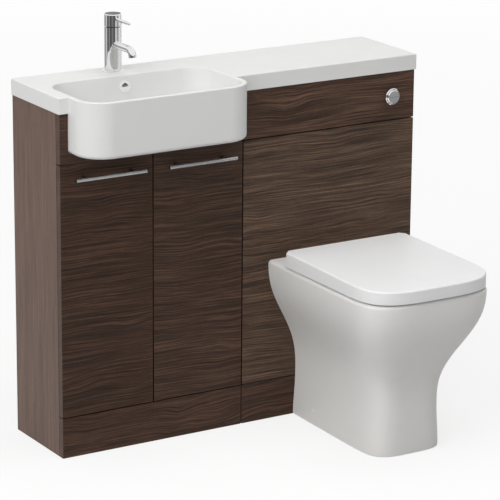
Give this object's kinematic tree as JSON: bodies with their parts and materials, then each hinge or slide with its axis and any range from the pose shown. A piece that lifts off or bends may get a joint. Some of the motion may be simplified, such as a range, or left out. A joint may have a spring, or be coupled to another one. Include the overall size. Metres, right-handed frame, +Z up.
{
  "type": "toilet and basin combination unit",
  "caption": "Bathroom wall unit: dark walnut cupboard and back-to-wall toilet cabinet under one white moulded worktop with basin and mixer tap, toilet pan with seat and lid.",
  "frame": {"origin": "centre of the whole unit's bounding box, on the floor", "axes": "+X along the unit from the basin to the toilet, +Y towards the wall, +Z up"},
  "size_m": [1.008, 0.732, 1.031],
  "materials": {
    "walnut_board": "dark walnut-grain laminate, satin",
    "cast_resin": "white moulded mineral resin, gloss",
    "vitreous_china": "white glazed vitreous china, opaque",
    "seat_plastic": "white moulded plastic, gloss",
    "chrome": "polished chrome plate",
    "steel": "satin steel",
    "white_plastic": "white moulded plastic",
    "rubber": "pale soft plastic"
  },
  "bodies": {
    "cabinet": {"basin_unit_left_side": "walnut_board", "basin_unit_right_side": "walnut_board", "basin_unit_floor": "walnut_board", "basin_unit_rails": "walnut_board", "cupboard_shelf": "walnut_board", "shelf_pegs": "steel", "basin_fascia": "walnut_board", "plinths": "walnut_board", "wc_unit_left_side": "walnut_board", "wc_unit_right_side": "walnut_board", "wc_unit_rails": "walnut_board", "wc_fascia": "walnut_board", "wc_front_panel": "walnut_board", "pads_and_bumpers": "rubber", "wall_brackets": "steel", "basin_worktop": "cast_resin", "overflow_ring": "chrome", "click_waste": "chrome", "waste_backnut": "chrome", "bottle_trap": "white_plastic", "trap_cup": "white_plastic", "trap_outlet_pipe": "white_plastic", "tap_body": "chrome", "tap_base_ring": "chrome", "tap_fixing": "steel", "tap_cartridge": "steel", "tap_aerator": "chrome", "hinge_arms": "steel", "pan": "vitreous_china", "pan_fixings": "white_plastic", "pan_connector": "white_plastic", "seat_hinge_posts": "chrome", "cistern_tank": "white_plastic", "cistern_lid": "white_plastic", "fill_valve": "white_plastic", "flush_valve": "white_plastic", "flush_pipe": "white_plastic", "flush_collar": "chrome"},
    "left_door": {"left_door": "walnut_board", "left_handle": "steel", "left_handle_screws": "steel", "left_hinge_cups": "steel"},
    "right_door": {"right_door": "walnut_board", "right_handle": "steel", "right_handle_screws": "steel", "right_hinge_cups": "steel"},
    "left_links": {"left_hinge_links": "steel"},
    "right_links": {"right_hinge_links": "steel"},
    "seat": {"seat": "seat_plastic", "seat_buffers": "rubber"},
    "lid": {"lid": "seat_plastic", "lid_buffers": "rubber"},
    "half_flush": {"half_flush_button": "chrome"},
    "full_flush": {"full_flush_button": "chrome"},
    "tap_turn": {"tap_stem": "steel"},
    "tap_handle": {"tap_cap": "chrome", "tap_lever": "chrome"},
    "waste_plug": {"waste_plug": "chrome"},
    "fill_float": {"fill_float": "white_plastic"},
    "flush_valve_lift": {"flush_valve_lift": "white_plastic"}
  },
  "joints": [
    {"name": "left_door_hinge", "type": "hinge", "parent": "cabinet", "child": "left_door", "pos_m": [-0.493, 0.13, 0.4145], "axis": [0, 0, -1], "range_deg": [0, 95]},
    {"name": "right_door_hinge", "type": "hinge", "parent": "cabinet", "child": "right_door", "pos_m": [-0.0085, 0.13, 0.4145], "axis": [0, 0, 1], "range_deg": [0, 95]},
    {"name": "left_link_pivot", "type": "hinge", "parent": "cabinet", "child": "left_links", "pos_m": [-0.468, 0.148, 0.4145], "axis": [0, 0, 1], "range_deg": [0, 35]},
    {"name": "right_link_pivot", "type": "hinge", "parent": "cabinet", "child": "right_links", "pos_m": [-0.0335, 0.148, 0.4145], "axis": [0, 0, -1], "range_deg": [0, 35]},
    {"name": "seat_hinge", "type": "hinge", "parent": "cabinet", "child": "seat", "pos_m": [0.25, 0.036, 0.439], "axis": [1, 0, 0], "range_deg": [-97, 0]},
    {"name": "lid_hinge", "type": "hinge", "parent": "seat", "child": "lid", "pos_m": [0.25, 0.036, 0.439], "axis": [-1, 0, 0], "range_deg": [0, 97]},
    {"name": "half_flush_press", "type": "slide", "parent": "cabinet", "child": "half_flush", "axis": [0, 1, 0], "range_m": [0, 0.005], "stiffness_N_per_m": 200, "springref_m": -0.002},
    {"name": "full_flush_press", "type": "slide", "parent": "cabinet", "child": "full_flush", "axis": [0, 1, 0], "range_m": [0, 0.005], "stiffness_N_per_m": 200, "springref_m": -0.002},
    {"name": "flush_valve_rise", "type": "slide", "parent": "cabinet", "child": "flush_valve_lift", "axis": [0, 0, 1], "range_m": [0, 0.02]},
    {"name": "tap_turn", "type": "hinge", "parent": "cabinet", "child": "tap_turn", "pos_m": [-0.25, 0.321, 1], "axis": [0, 0, 1], "range_deg": [-40, 40]},
    {"name": "tap_lift", "type": "hinge", "parent": "tap_turn", "child": "tap_handle", "pos_m": [-0.25, 0.3415, 1.001], "axis": [-1, 0, 0], "range_deg": [0, 18]},
    {"name": "waste_plug_click", "type": "slide", "parent": "cabinet", "child": "waste_plug", "axis": [0, 0, 1], "range_m": [0, 0.008]},
    {"name": "fill_float_rise", "type": "slide", "parent": "cabinet", "child": "fill_float", "axis": [0, 0, 1], "range_m": [0, 0.08]}
  ],
  "couplings": [
    {"joint": "left_link_pivot", "follows": "left_door_hinge", "ratio": 0.3684},
    {"joint": "right_link_pivot", "follows": "right_door_hinge", "ratio": 0.3684},
    {"joint": "flush_valve_rise", "follows": "full_flush_press", "ratio": 4}
  ]
}
